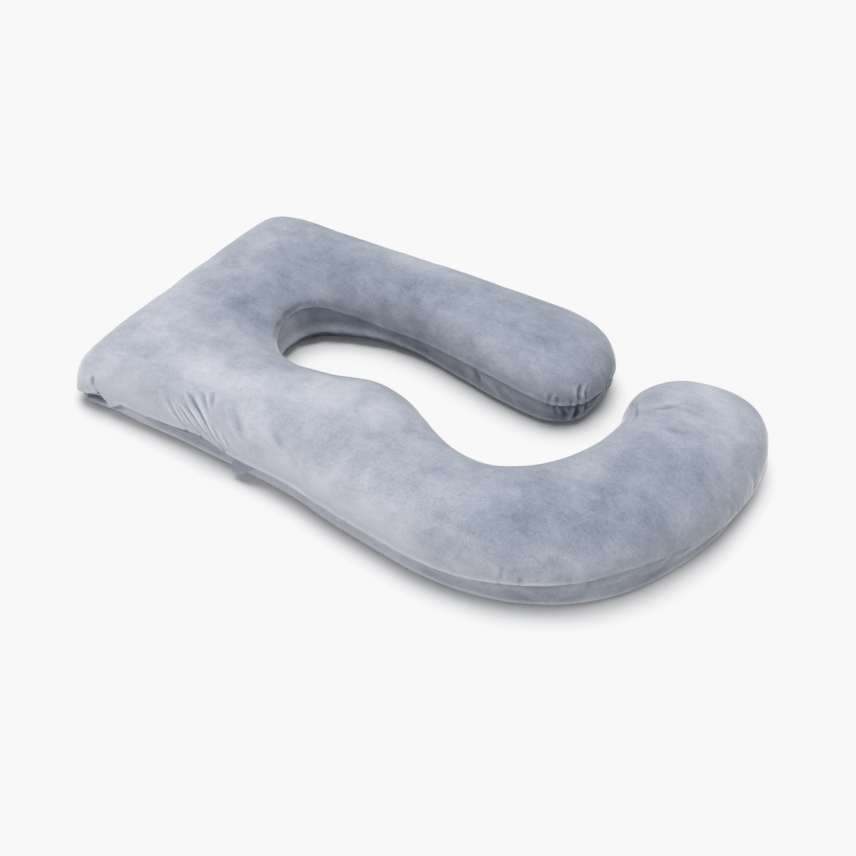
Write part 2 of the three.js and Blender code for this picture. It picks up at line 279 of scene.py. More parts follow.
# The seam's edge stands proud as a thin bead over a line of stitching that draws the cloth in, a
# little unevenly.
BEAD_PROUD = 1.8
BEAD_WIDTH = 3.0
STITCH_DRAW = 1.4
STITCH_UNEVEN = 0.5
STITCH_PLACE = 10
STITCH_WIDTH = 6
SEAM_WAVES = ((23, 0.5), (41, 0.7), (97, 0.8))
SEAM_SEED = 40

# Slow unevenness of the filling and of the loose under panel: wavelength and height.
LUMPS = ((260, 0.9), (120, 0.35))
LUMP_SEED = 10
SLACK = ((55, 1.0), (26, 0.6))
SLACK_SEED = 20
LUMP_CLEAR = 40
SLACK_CLEAR = 12
WAVE_COUNT = 14
WAVE_SPREAD = (0.7, 1.4)

# The cloth that settles round the filling. Its folds are whole at the seams and die away up the top
# panel and where rings crowd together.
CLOTH = {
    "quality": 5,
    "mass": 0.25,
    "tension_stiffness": 25,
    "compression_stiffness": 25,
    "shear_stiffness": 8,
    "bending_stiffness": 0.15,
}
SETTLE_REACH = 70
SETTLE_LEAST = 0.15
DRIFT_ROUNDS = 60
CROWDED_GAP = 0.8
CROWDED_EASE = 2.5

# Zones painted with light and shade: a painted highlight along the lip of a seam, painted shade in
# the groove past the tuck below it, painted light and shade on the top panel's shoulder over the seam
# and on the under panel, a painted highlight along the roll at its foot, and painted shade in the
# folds, whose ridges count below zero and so take a painted highlight. On the side of the gap the lip
# and the roll show less.
ZONES = ("lip", "groove", "shoulder", "wall", "roll", "crease")
LIP_WIDTH = 3.5
GROOVE_WIDTH = 9.5
SHOULDER_WIDTH = 55
CREASE_FULL = 6.0
CREASE_RIDGE = 0.6
INNER_LIP = 0.9
INNER_ROLL = 0.6

# Stretches along the pillow and the light and shade painted there on the top panel's shoulder over
# each seam and on the under panel below it: painted light above zero, painted shade below.
PAINTED_LIGHT_AND_SHADE_ZONES = table(
    ("first", "last", "inner_shoulder", "outer_shoulder", "inner_wall", "outer_wall"),
    ("arm_end", "arm_corner", 0.05, -0.36, -0.28, -0.56),
    ("arm_corner", "arm_near", 0.18, 0, 0.08, 0.05),
    ("arm_near", "arm_root", 0.10, 0, -0.10, 0.05),
    ("arm_root", "back_corner", 0, 0, -0.16, 0.05),
    ("back_corner", "head_back", 0, 0.12, 0.40, 0.10),
    ("head_back", "head_bulge", 0, 0.12, 0.95, 0.10),
    ("head_bulge", "front_corner", 0.12, 0.59, -0.05, 0.18),
    ("front_corner", "corner_pocket", 0.18, 0.59, -0.05, -0.45),
    ("corner_pocket", "gather_start", 0.20, 0.60, -0.05, 0.10),
    ("gather_start", "zip_end", 0.20, 0.60, -0.05, 0),
    ("zip_end", "leg_bend_3", 0.20, 0.58, -0.05, 0.20),
    ("leg_bend_3", "leg_bend_6", 0.22, 0.30, -0.10, 0.18),
    ("leg_bend_6", "leg_bend_8", 0.20, 0.15, -0.10, 0.08),
    ("leg_bend_8", "hook_end", 0.06, 0.05, -0.10, 0.08),
)

# The flap over the end of the zip in millimetres: its cut, then how it stands out and waves.
FLAP_LENGTH = 62
FLAP_FOOT_LENGTH = 32
FLAP_DROP = 34
FLAP_FOOT_RISE = 0.25
FLAP_THICKNESS = 2.4
FLAP_STAND_OUT = 7
FLAP_GAP = 0.4
FLAP_CURL = 1.4
FLAP_STEPS = (40, 24)
FLAP_WAVE = 0.8
FLAP_HALF_WAVES = 2.2
# Rows along the flap's foot that carry the painted lip highlight.
FLAP_LIP_ROWS = 2


def bell(distance, width):
    """One at no distance, dying away over the width on both sides."""
    return np.exp(-((distance / width) ** 2))


def rib_values(*columns):
    """The named values of all ribs, one row each."""
    return np.array([[rib[column] for column in columns] for rib in RIBS], float)


def through_ribs(points, places):
    """Smooth curve through one point per rib, read at places counted in ribs."""
    ends = np.vstack([2 * points[0] - points[1], points, 2 * points[-1] - points[-2]])
    span = np.clip(places.astype(int), 0, len(points) - 2)
    part = (places - span)[:, None]
    before, first, last, after = (ends[span + offset] for offset in range(4))

    def gap(start, end):
        return np.linalg.norm(end - start, axis=1, keepdims=True) ** CURVE_POWER

    middle = gap(first, last)
    middle[middle < SAME_PLACE] = 1
    lead = gap(before, first)
    lead = np.where(lead < SAME_PLACE, middle, lead)
    tail = gap(last, after)
    tail = np.where(tail < SAME_PLACE, middle, tail)
    step = last - first
    leave = middle * ((first - before) / lead - (last - before) / (lead + middle)) + step
    arrive = step - middle * ((after - first) / (middle + tail) - (after - last) / tail)
    bend = 3 * step - 2 * leave - arrive
    return first + part * (leave + part * (bend + part * (leave + arrive - 2 * step)))


def run_along(points):
    """Distance of every point of a line from its first point."""
    steps = np.linalg.norm(np.diff(points, axis=0), axis=-1)
    return np.concatenate([np.zeros_like(steps[:1]), np.cumsum(steps, axis=0)])


def dense_places():
    """Places close together along the whole run, counted in ribs."""
    return np.linspace(0, len(RIBS) - 1, PLACES_PER_RIB * (len(RIBS) - 1) + 1)


def zone_values(zones, column, plain, places):
    """One column of a table of zones at the given places, eased from each zone into the next."""
    dense = dense_places()
    values = np.full(len(dense), float(plain))
    for zone in zones:
        inside = (dense >= RIB_PLACE[zone["first"]]) & (dense <= RIB_PLACE[zone["last"]])
        values[inside] = zone[column]
    window = np.ones(ZONE_EASE) / ZONE_EASE
    padded = np.pad(values, ZONE_EASE, mode="edge")
    values = np.convolve(padded, window, mode="same")[ZONE_EASE:-ZONE_EASE]
    return np.interp(places, dense, values)


def ring_places():
    """Places of the rings, closer together where the cloth is gathered. Their number is odd."""
    dense = dense_places()
    inner = through_ribs(rib_values("inner_x", "inner_y", "inner_seam"), dense)
    outer = through_ribs(rib_values("outer_x", "outer_y", "outer_seam"), dense)
    spacing = zone_values(RING_ZONES, "spacing", RING_SPACING, dense)
    run = (run_along(inner) + run_along(outer)) / 2
    count = np.concatenate([[0], np.cumsum(np.diff(run) / spacing[1:])])
    rings = 2 * int(count[-1] / 2) + 1
    return np.interp(np.linspace(0, count[-1], rings), count, dense)


def top_angles(places):
    """Angle over the top panel of every point of every ring, from the inner seam to the outer."""
    even = np.linspace(0, math.pi, TOP_STEPS + 1)
    crowding = zone_values(RING_ZONES, "crowding", TOP_CROWDING, places)[:, None]
    plain = even - crowding / 2 * np.sin(2 * even)
    drawn = np.interp(even / math.pi, GATHERED_SHARES, GATHERED_ANGLES)
    gathered = zone_values(RING_ZONES, "gathered", 0, places)[:, None]
    return plain * (1 - gathered) + drawn * gathered


def side_values(name, places):
    """Sharpness of one seam, and height and reach of the roll below it, for every ring."""
    return [
        zone_values(SIDES, f"{name}_{column}", plain, places)[:, None]
        for column, plain in PLAIN_SIDE.items()
    ]


def roll_share(lift, roll):
    """One along the middle of the roll, dying away above and below it."""
    spread = ROLL_SPREAD + ROLL_GROWTH * (roll - ROLL_HEIGHT)
    return bell(lift - roll, spread)


def wall_points(seam, other, under, edge, roll, proud):
    """Under panel on one side of every ring, from just below the seam to the floor."""
    inward = (other - seam) * (1, 1, 0)
    width = np.linalg.norm(inward, axis=1, keepdims=True)
    inward = inward / width
    foot = np.minimum(WALL_LEAN / seam[:, 2:], width * WIDEST_FOOT - TUCK)
    angle = np.linspace(0, math.pi / 2, WALL_STEPS + 1)[None, :]
    share = 1 - np.sin(angle)
    lift = (seam[:, 2:] - TUCK_DROP - under[:, None]) * share
    hollow = HOLLOW * np.minimum(1, PLAIN_SEAM / seam[:, 2:]) ** 2
    hollow = hollow * np.minimum(1, width / (2 * PLAIN_SEAM))
    inset = TUCK * edge + foot * (1 - np.cos(angle))
    inset = inset + hollow * bell(share - HOLLOW_PLACE, HOLLOW_SPREAD)
    inset = inset - proud * roll_share(lift, roll)
    points = seam[:, None, :] + inward[:, None, :] * inset[..., None]
    points[..., 2] = under[:, None] + lift
    return points


def calm(top, places):
    """Eases the top panel along its run where the ribs turn sharply, clear of the outer seam."""
    share = zone_values(CALM_ZONES, "share", 0, places)[:, None]
    away = run_along(top[:, ::-1].swapaxes(0, 1))[::-1].T
    share = share * (1 - bell(away, CALM_CLEAR))
    return top + (eased(top, CALM_ROUNDS, across=False) - top) * share[..., None]


def plain_loft(places):
    """Rings of the filled cover before any fold, and the line of each seam."""
    inner = through_ribs(rib_values("inner_x", "inner_y", "inner_seam"), places)
    outer = through_ribs(rib_values("outer_x", "outer_y", "outer_seam"), places)
    crown, under, dome = through_ribs(rib_values("crown", "under", "dome"), places).T
    under = np.maximum(under, 0)
    angle = top_angles(places)
    across = np.abs(np.cos(angle)) ** (2 / dome[:, None])
    mix = (1 - np.sign(np.cos(angle)) * across) / 2
    top = inner[:, None, :] + (outer - inner)[:, None, :] * mix[..., None]
    lift = np.abs(np.sin(angle)) ** (2 / DOME_RISE)
    top[..., 2] += (crown[:, None] - top[..., 2]) * lift
    top = calm(top, places)
    outer_wall = wall_points(outer, inner, under, *side_values("outer", places))
    inner_wall = wall_points(inner, outer, under, *side_values("inner", places))
    share = np.linspace(0, 1, FLOOR_POINTS + 2)[1:-1][None, :, None]
    floor = outer_wall[:, -1:] * (1 - share) + inner_wall[:, -1:] * share
    rings = np.concatenate([top, outer_wall, floor, inner_wall[:, ::-1]], axis=1)
    return rings, {"inner": inner, "outer": outer}


def outward(rings):
    """Unit normals of a grid of rings, pointing out of the pillow."""
    across = np.roll(rings, -1, axis=1) - np.roll(rings, 1, axis=1)
    along = np.gradient(rings, axis=0)
    normals = np.cross(across, along)
    return normals / np.maximum(np.linalg.norm(normals, axis=2, keepdims=True), TINY)


def panel_places(rings, seams, places):
    """Distance of every point along each seam's run and away from each seam."""
    measured = {}
    for name, line in seams.items():
        run = run_along(line)
        at_rib = np.interp(np.arange(len(RIBS)), places, run)
        measured[name] = {
            "run": run,
            "rib": {rib["name"]: at_rib[place] for place, rib in enumerate(RIBS)},
        }
    top = rings[:, TOP_PANEL].swapaxes(0, 1)
    measured["inner"]["top"] = run_along(top).T
    measured["outer"]["top"] = run_along(top[::-1])[::-1].T
    outer_wall = np.concatenate([rings[:, OUTER_SEAM : OUTER_SEAM + 1], rings[:, OUTER_WALL]], axis=1)
    measured["outer"]["under"] = run_along(outer_wall.swapaxes(0, 1))[1:].T
    inner_wall = np.concatenate([rings[:, :1], rings[:, INNER_WALL][:, ::-1]], axis=1)
    measured["inner"]["under"] = run_along(inner_wall.swapaxes(0, 1))[1:][::-1].T
    return measured


def panel_slice(seam, panel):
    """Points of a ring that belong to the top panel, or to the under panel below one seam."""
    if panel == "top":
        return TOP_PANEL
    return OUTER_WALL if seam == "outer" else INNER_WALL


def fold_depth(fold, along, rise):
    """Depth of one fold over a panel, given the distance along the seam and from it."""
    reach = (rise - fold["start"]) / fold["rise"]
    inside = (reach >= 0) & (reach <= 1)
    reach = np.clip(reach, 0, 1)
    bend = np.maximum(reach, FOLD_BEND_START) ** (fold["bow"] - 1)
    slant = 1 / np.hypot(1, fold["lean"] / fold["rise"] * fold["bow"] * bend)
    off = (along - fold["along"] - fold["lean"] * reach ** fold["bow"]) * slant
    width = fold["width"] * (FOLD_SEAM_WIDTH + (FOLD_FAR_WIDTH - FOLD_SEAM_WIDTH) * reach)
    begin = FOLD_FADE_START if fold["start"] == 0 else 0
    fade = np.sin(math.pi * (begin + (1 - begin) * reach))
    valley = np.exp(-((np.abs(off) / width) ** FOLD_SHARPNESS))
    ridge = bell(np.abs(off) - RIDGE_PLACE * width, width)
    share = RIDGE_SHARE if fold["depth"] > 0 else 0
    return np.where(inside, fold["depth"] * fade * (valley - share * ridge), 0)


def fold_depths(rings, measured):
    """Depth of all folds together at every point of the rings."""
    depth = np.zeros(rings.shape[:2])
    for fold in FOLDS:
        seam = measured[fold["seam"]]
        along = (seam["run"] - seam["rib"][fold["rib"]])[:, None]
        spots = panel_slice(fold["seam"], fold["panel"])
        depth[:, spots] += fold_depth(fold, along, seam[fold["panel"]])
    return depth


def waves(points, wavelength, seed):
    """Smooth random field of about unit height over any points, the same every time."""
    draw = np.random.default_rng(seed)
    total = np.zeros(points.shape[:-1])
    for _ in range(WAVE_COUNT):
        turn = draw.normal(size=points.shape[-1])
        turn *= 2 * math.pi / wavelength / np.linalg.norm(turn) * draw.uniform(*WAVE_SPREAD)
        total += np.sin(points @ turn + draw.uniform(0, 2 * math.pi))
    return total / math.sqrt(WAVE_COUNT / 2)


def shape_seams(rings, places, measured):
    """Draws the cloth in along the stitching and lets the seam's edge stand proud, a little unevenly."""
    shaped = rings.copy()
    for number, (name, spot) in enumerate((("inner", INNER_SEAM), ("outer", OUTER_SEAM))):
        seam = measured[name]
        away = seam["top"]
        run = seam["run"][:, None]
        seed = SEAM_SEED + number
        uneven = sum(size * waves(run, length, seed) for length, size in SEAM_WAVES)[:, None]
        edge, _, _ = side_values(name, places)
        bead = BEAD_PROUD * edge * bell(away, BEAD_WIDTH)
        draw = (STITCH_DRAW + STITCH_UNEVEN * uneven) * np.minimum(edge, 1)
        draw = draw * bell(away - STITCH_PLACE, STITCH_WIDTH)
        other = INNER_SEAM if spot == OUTER_SEAM else OUTER_SEAM
        side = (rings[:, spot] - rings[:, other]) * (1, 1, 0)
        side /= np.maximum(np.linalg.norm(side, axis=1, keepdims=True), TINY)
        shaped[:, TOP_PANEL] += side[:, None, :] * (bead - draw)[..., None]
    return shaped


def loosen(rings, measured):
    """Adds the slow lumps of the filling and the slack of the under panel."""
    normals = outward(rings)
    push = np.zeros(rings.shape[:2])
    clear = np.minimum(measured["inner"]["top"], measured["outer"]["top"])
    clear = 1 - bell(clear, LUMP_CLEAR)
    for number, (length, height) in enumerate(LUMPS):
        push[:, TOP_PANEL] += height * waves(rings[:, TOP_PANEL], length, LUMP_SEED + number) * clear
    for name in ("inner", "outer"):
        wall = panel_slice(name, "under")
        free = np.clip(rings[:, wall, 2] / SLACK_CLEAR - 1, 0, 1)
        for number, (length, height) in enumerate(SLACK):
            push[:, wall] += height * waves(rings[:, wall], length, SLACK_SEED + number) * free
    return rings + normals * push[..., None]


def grid_faces(rings, points):
    """Quads between the rings, turned outwards."""
    ring = np.arange(rings - 1)[:, None] * points
    spot = np.arange(points)[None, :]
    following = (spot + 1) % points
    corners = (ring + spot, ring + following, ring + points + following, ring + points + spot)
    return np.stack([np.broadcast_to(c, (rings - 1, points)) for c in corners], axis=-1).reshape(-1, 4)


def closed_mesh(name, rings):
    """Mesh of a grid of rings with a fan over each end, in metres."""
    count, points = rings.shape[:2]
    places = np.concatenate([rings.reshape(-1, 3), rings[:1].mean(1), rings[-1:].mean(1)])
    faces = grid_faces(count, points).tolist()
    first, last = count * points, count * points + 1
    for spot in range(points):
        following = (spot + 1) % points
        end = (count - 1) * points
        faces.append((first, following, spot))
        faces.append((last, end + spot, end + following))
    mesh = bpy.data.meshes.new(name)
    mesh.from_pydata((places * MM).tolist(), [], faces)
    mesh.update()
    return mesh


def round_ends(rings):
    """Closes each end with smaller rings that bulge out."""
    ends = []
    for ring, before in ((rings[0], rings[1]), (rings[-1], rings[-2])):
        middle = ring.mean(0)
        out = middle - before.mean(0)
        out /= np.linalg.norm(out)
        turn = np.linspace(0, math.pi / 2, CAP_RINGS + 1)[1:]
        size = np.maximum(np.cos(turn), CAP_LEAST)[:, None, None]
        ends.append(middle + (ring - middle) * size + out * CAP_REACH * np.sin(turn)[:, None, None])
    return np.concatenate([ends[0][::-1], rings, ends[1]])


def eased(values, rounds, across=True):
    """Smooths a grid of values along the rings' run, and round the rings too if across."""
    for _ in range(rounds):
        padded = np.concatenate([values[:1], values, values[-1:]])
        values = values / 2 + (padded[:-2] + padded[2:]) / 4
        if across:
            values = values / 2 + (np.roll(values, 1, axis=1) + np.roll(values, -1, axis=1)) / 4
    return values


def doubled(values):
    """Puts a cubic middle value between the neighbours of a grid, along the rings and round them."""
    padded = np.concatenate([values[:1], values, values[-1:]])
    middle = (9 * (padded[1:-2] + padded[2:-1]) - padded[:-3] - padded[3:]) / 16
    along = np.empty((2 * len(values) - 1, *values.shape[1:]))
    along[::2] = values
    along[1::2] = middle
    following = np.roll(along, -1, axis=1)
    outer = np.roll(along, 1, axis=1) + np.roll(along, -2, axis=1)
    both = np.empty((len(along), 2 * along.shape[1], along.shape[2]))
    both[:, ::2] = along
    both[:, 1::2] = (9 * (along + following) - outer) / 16
    return both


def near_seams(rings, measured, reach, least):
    """One at the seams and on the walls, falling to a least share over the top panel."""
    share = np.ones(rings.shape[:2])
    away = np.minimum(measured["inner"]["top"], measured["outer"]["top"])
    share[:, TOP_PANEL] = least + (1 - least) * bell(away, reach)
    return share


def roomy(rings):
    """One where neighbouring rings lie well apart, falling to nothing where they crowd together."""
    gap = np.linalg.norm(np.gradient(rings, axis=0), axis=2)
    return np.clip((gap - CROWDED_GAP) / CROWDED_EASE, 0, 1)


def settling_cover(coarse, shape):
    """Cloth over a coarse grid of rings, held where it rests and drawn in along the seams."""
    mesh = closed_mesh("settling_cover", coarse)
    piece = bpy.data.objects.new("settling_cover", mesh)
    bpy.context.scene.collection.objects.link(piece)
    height = np.array([v.co.z for v in mesh.vertices])
    resting = piece.vertex_groups.new(name="resting")
    resting.add(np.flatnonzero(height < ROLL_HEIGHT * MM).tolist(), 1.0, "REPLACE")
    sewn = piece.vertex_groups.new(name="sewn")
    rings, points = coarse.shape[:2]
    seam_spots = [INNER_SEAM // 2, OUTER_SEAM // 2]
    sewn.add([ring * points + spot for ring in range(rings) for spot in seam_spots], 1.0, "REPLACE")
    cover = piece.modifiers.new("cover", "CLOTH")
    cloth = cover.settings
    for name, value in CLOTH.items():
        setattr(cloth, name, value)
    cloth.use_pressure = True
    cloth.uniform_pressure_force = shape.filling_push
    cloth.vertex_group_mass = resting.name
    cloth.vertex_group_shrink = sewn.name
    cloth.shrink_max = shape.seam_shrink
    cloth.effector_weights.gravity = 0
    cover.collision_settings.use_collision = False
    return piece


def settle(rings, shape):
    """How far every point is drawn into small folds as the cover settles round its filling."""
    scene = bpy.context.scene
    coarse = rings[::2, ::2]
    piece = settling_cover(coarse, shape)
    scene.frame_start = 1
    scene.frame_end = shape.settle_frames
    for number in range(1, shape.settle_frames + 1):
        scene.frame_set(number)
    settled = piece.evaluated_get(bpy.context.evaluated_depsgraph_get()).data
    places = np.empty(len(settled.vertices) * 3)
    settled.vertices.foreach_get("co", places)
    places = places.reshape(-1, 3)[: coarse[..., 0].size]
    moved = places.reshape(coarse.shape) / MM - coarse
    scene.frame_set(1)
    mesh = piece.data
    bpy.data.objects.remove(piece)
    bpy.data.meshes.remove(mesh)
    small = moved - eased(moved, shape.fold_size)
    small = (small - eased(small, DRIFT_ROUNDS, across=False)) * shape.settle_strength
    cap = shape.fold_cap / MM
    size = np.linalg.norm(small, axis=2, keepdims=True)
    small *= cap * np.tanh(size / cap) / np.maximum(size, TINY)
    return doubled(small)


def table_shift(rings):
    """From the ribs' own origin to the frame's, by the middles of the two boxes."""
    low, high = (np.array(corner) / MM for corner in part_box("pillow"))
    places = rings.reshape(-1, 3)
    middle = (low + high) / 2 - (places.min(0) + places.max(0)) / 2
    return middle * (1, 1, 0)


def store(mesh, name, values):
    """Keeps one value for each point of a mesh under a name that materials can read."""
    mesh.attributes.new(name, "FLOAT", "POINT").data.foreach_set("value", values.astype(np.float32))


def add_piece(name, mesh, material):
    """Smooth object of a mesh with one material, in the scene."""
    piece = bpy.data.objects.new(name, mesh)
    bpy.context.scene.collection.objects.link(piece)
    mesh.materials.append(material)
    mesh.shade_smooth()
    return piece


class NodeBoard:
    """Places nodes in a tree and joins them, so that a material reads as a list of steps."""

    def __init__(self, tree):
        self.tree = tree

    def add(self, kind, inputs=None, **settings):
        """New node with its settings, its inputs joined to other nodes or set to values."""
        node = self.tree.nodes.new(kind)
        for name, value in settings.items():
            setattr(node, name, value)
        for name, value in (inputs or {}).items():
            if isinstance(value, bpy.types.NodeSocket):
                self.tree.links.new(value, node.inputs[name])
            else:
                node.inputs[name].default_value = value
        return node

    def math(self, operation, *values, clamp=False):
        """Result of one sum over sockets and numbers."""
        inputs = dict(enumerate(values))
        return self.add("ShaderNodeMath", inputs, operation=operation, use_clamp=clamp).outputs[0]

    def noise(self, vector, scale, detail, roughness, distortion):
        """Soft random value at a place, half on average."""
        inputs = {
            "Vector": vector, "Scale": scale, "Detail": detail,
            "Roughness": roughness, "Distortion": distortion,
        }
        return self.add("ShaderNodeTexNoise", inputs).outputs["Fac"]

    def spread(self, value, low, high):
        """Smooth rise from nothing at low to one at high."""
        inputs = {"Value": value, "From Min": low, "From Max": high}
        return self.add("ShaderNodeMapRange", inputs, interpolation_type="SMOOTHSTEP").outputs["Result"]


def new_group(name, inputs, outputs):
    """Empty node group with float or vector inputs and float outputs."""
    tree = bpy.data.node_groups.new(name, "ShaderNodeTree")
    for label, value in inputs.items():
        kind = "NodeSocketVector" if value is None else "NodeSocketFloat"
        socket = tree.interface.new_socket(label, in_out="INPUT", socket_type=kind)
        if value is not None:
            socket.default_value = value
    for label in outputs:
        tree.interface.new_socket(label, in_out="OUTPUT", socket_type="NodeSocketFloat")
    board = NodeBoard(tree)
    return board, board.add("NodeGroupInput").outputs, board.add("NodeGroupOutput").inputs


# Broad areas painted lighter or darker, partly where the pile has been brushed another way and partly
# as painted light and shade, such as the lighter band along the leg's outer edge and at the head's
# outer rim: place and reach in millimetres from the frame's origin.
NAP_AND_PAINTED_LIGHT_PATCHES = table(
    ("x", "y", "reach_x", "reach_y", "tone"),
    (-560, -190, 260, 230, 0.18),
    (-600, -330, 170, 80, 0.26),
    (-690, -40, 110, 330, 0.14),
    (-520, -40, 150, 130, -0.12),
    (-220, 330, 170, 110, 0.20),
    (-440, 50, 140, 130, -0.24),
    (-430, -30, 100, 60, -0.12),
    (-345, -135, 110, 70, 0.14),
    (640, 20, 60, 90, -0.12),
    (-430, 190, 190, 150, -0.20),
    (-300, 260, 200, 150, -0.20),
    (-140, 235, 170, 120, -0.16),
    (60, 280, 300, 170, -0.22),
    (230, 235, 170, 130, -0.14),
    (-330, -250, 200, 120, 0.26),
    (-220, -325, 150, 60, 0.16),
    (-110, -180, 210, 160, 0.30),
    (-60, -350, 170, 60, 0.24),
    (110, -400, 200, 70, 0.26),
    (440, -250, 210, 170, -0.24),
    (390, -350, 140, 80, -0.14),
    (600, -190, 130, 110, -0.20),
    (440, -60, 90, 110, 0.16),
    (60, -130, 130, 110, 0.12),
    (560, -60, 170, 190, -0.19),
    (505, 240, 130, 90, 0.16),
    (600, 200, 170, 130, 0.14),
    (560, 300, 120, 60, 0.16),
    (-590, 260, 120, 120, 0.08),
    (580, 110, 110, 90, -0.12),
)

# Uneven patches over them: how many times finer than the broadest, share of the tone, and the
# noise's detail, roughness and distortion. Streaks are the same noise, turned and stretched.
NAP_NOISES = (
    (1.0, 0.44, (2.0, 0.5, 0.4)),
    (4.2, 0.44, (2.0, 0.5, 0.5)),
    (12.0, 0.28, (3.0, 0.6, 0.5)),
)
STREAK_NOISE = (5.0, 0.62, 1.4)
STREAK_TURN = (0.2, 0.1, 0.6)
STREAK_STRETCH = (1.0, 4.5, 2.0)
MIDDLE_TONE = 0.5

# The pile itself: single tufts and clumps of them, the tufts' share of its height, and how dull it
# is.
TUFT_NOISE = (2.0, 0.7, 0.0)
CLUMP_NOISE = (4.0, 0.65, 0.6)
TUFT_SHARE = 0.45
PILE_ROUGHNESS = 0.95
PILE_GLOSS = 0.15


def nap_and_painted_light_group():
    """Light and dark patches and streaks where the pile has been brushed different ways, with broad
    patches that are partly painted light and shade.
    """
    board, given, result = new_group(
        "Brushed nap",
        {"Vector": None, "Patch scale": 3.2, "Streak scale": 11.0, "Streak share": 0.24},
        ("Tone",),
    )
    vector = given["Vector"]
    tone = 0.0
    for finer, share, kind in NAP_NOISES:
        scale = board.math("MULTIPLY", given["Patch scale"], finer)
        patches = board.math("SUBTRACT", board.noise(vector, scale, *kind), MIDDLE_TONE)
        tone = board.math("MULTIPLY_ADD", patches, share, tone)
    stretched = board.add(
        "ShaderNodeMapping", {"Vector": vector, "Rotation": STREAK_TURN, "Scale": STREAK_STRETCH}
    ).outputs[0]
    streaks = board.noise(stretched, given["Streak scale"], *STREAK_NOISE)
    streaks = board.math("SUBTRACT", streaks, MIDDLE_TONE)
    tone = board.math("MULTIPLY_ADD", streaks, given["Streak share"], tone)
    # Broad patches: partly brushed nap, partly painted light and shade.
    for patch in NAP_AND_PAINTED_LIGHT_PATCHES:
        centre = (patch["x"] * MM, patch["y"] * MM, 0)
        shrink = (1 / (patch["reach_x"] * MM), 1 / (patch["reach_y"] * MM), 0)
        off = board.add("ShaderNodeVectorMath", {0: vector, 1: centre}, operation="SUBTRACT").outputs[0]
        off = board.add("ShaderNodeVectorMath", {0: off, 1: shrink}, operation="MULTIPLY").outputs[0]
        far = board.add("ShaderNodeVectorMath", {0: off}, operation="LENGTH").outputs["Value"]
        tone = board.math("MULTIPLY_ADD", board.spread(far, 1.0, 0.0), patch["tone"], tone)
    board.tree.links.new(board.math("ADD", tone, MIDDLE_TONE, clamp=True), result["Tone"])
    return board.tree


def short_pile_group():
    """Height of the short pile: single tufts, and clumps of them."""
    board, given, result = new_group(
        "Short pile", {"Vector": None, "Tuft scale": 240.0, "Clump scale": 70.0}, ("Height", "Speckle")
    )
    tufts = board.noise(given["Vector"], given["Tuft scale"], *TUFT_NOISE)
    clumps = board.noise(given["Vector"], given["Clump scale"], *CLUMP_NOISE)
    height = board.math("MULTIPLY", clumps, 1 - TUFT_SHARE)
    height = board.math("MULTIPLY_ADD", tufts, TUFT_SHARE, height)
    board.tree.links.new(height, result["Height"])
    board.tree.links.new(board.math("SUBTRACT", tufts, MIDDLE_TONE), result["Speckle"])
    return board.tree


def plush_material(name, look, groups, darker):
    """Velvet with a brushed nap, short pile and a soft sheen, and light and shade painted in by zone."""
    material = bpy.data.materials.new(name)
    material.use_nodes = True
    tree = material.node_tree
    tree.nodes.clear()
    board = NodeBoard(tree)
    place = board.add("ShaderNodeTexCoord").outputs["Object"]
    nap = board.add("ShaderNodeGroup", node_tree=groups["nap"])
    nap.inputs["Patch scale"].default_value = look.patch_scale
    tree.links.new(place, nap.inputs["Vector"])
    pile = board.add("ShaderNodeGroup", node_tree=groups["pile"])
    tree.links.new(place, pile.inputs["Vector"])
    tone = board.math("MULTIPLY_ADD", pile.outputs["Speckle"], look.speckle, nap.outputs["Tone"])
    # Painted light and shade from the zones: highlights at the lip, the roll and the folds' ridges, shade
    # in the groove and the folds, light and shade on the shoulders and walls.
    shares = {
        "lip": look.painted_lip_highlight,
        "groove": -look.painted_groove_shade,
        "shoulder": look.painted_light_and_shade,
        "wall": look.painted_light_and_shade,
        "roll": look.painted_roll_highlight,
        "crease": -look.painted_crease_shade_and_ridge_light,
    }
    for zone, share in shares.items():
        inside = board.add("ShaderNodeAttribute", attribute_name=zone).outputs["Fac"]
        tone = board.math("MULTIPLY_ADD", inside, share, tone)
    tone = board.math("SUBTRACT", tone, darker, clamp=True)
    ramp = board.add("ShaderNodeValToRGB", {"Fac": tone})
    stops = ((0, look.deep_nap), (MIDDLE_TONE, look.middle_nap), (1, look.light_nap))
    ramp.color_ramp.elements.new(MIDDLE_TONE)
    for element, (position, colour) in zip(ramp.color_ramp.elements, stops):
        element.position = position
        element.color = (*colour, 1)
    bump = board.add(
        "ShaderNodeBump",
        {"Height": pile.outputs["Height"], "Strength": look.pile_bump, "Distance": look.pile_height},
    )
    surface = board.add("ShaderNodeBsdfPrincipled", {"Base Color": ramp.outputs["Color"]})
    tree.links.new(bump.outputs["Normal"], surface.inputs["Normal"])
    surface.inputs["Roughness"].default_value = PILE_ROUGHNESS
    surface.inputs["Specular IOR Level"].default_value = PILE_GLOSS
    surface.inputs["Sheen Weight"].default_value = look.sheen
    surface.inputs["Sheen Roughness"].default_value = look.sheen_spread
    surface.inputs["Sheen Tint"].default_value = (*look.sheen_tint, 1)
    output = board.add("ShaderNodeOutputMaterial")
    tree.links.new(surface.outputs["BSDF"], output.inputs["Surface"])
    return material


def nap_groups():
    """The two shared effects, made once."""
    made = {"nap": ("Brushed nap", nap_and_painted_light_group), "pile": ("Short pile", short_pile_group)}
    return {key: bpy.data.node_groups.get(name) or build() for key, (name, build) in made.items()}


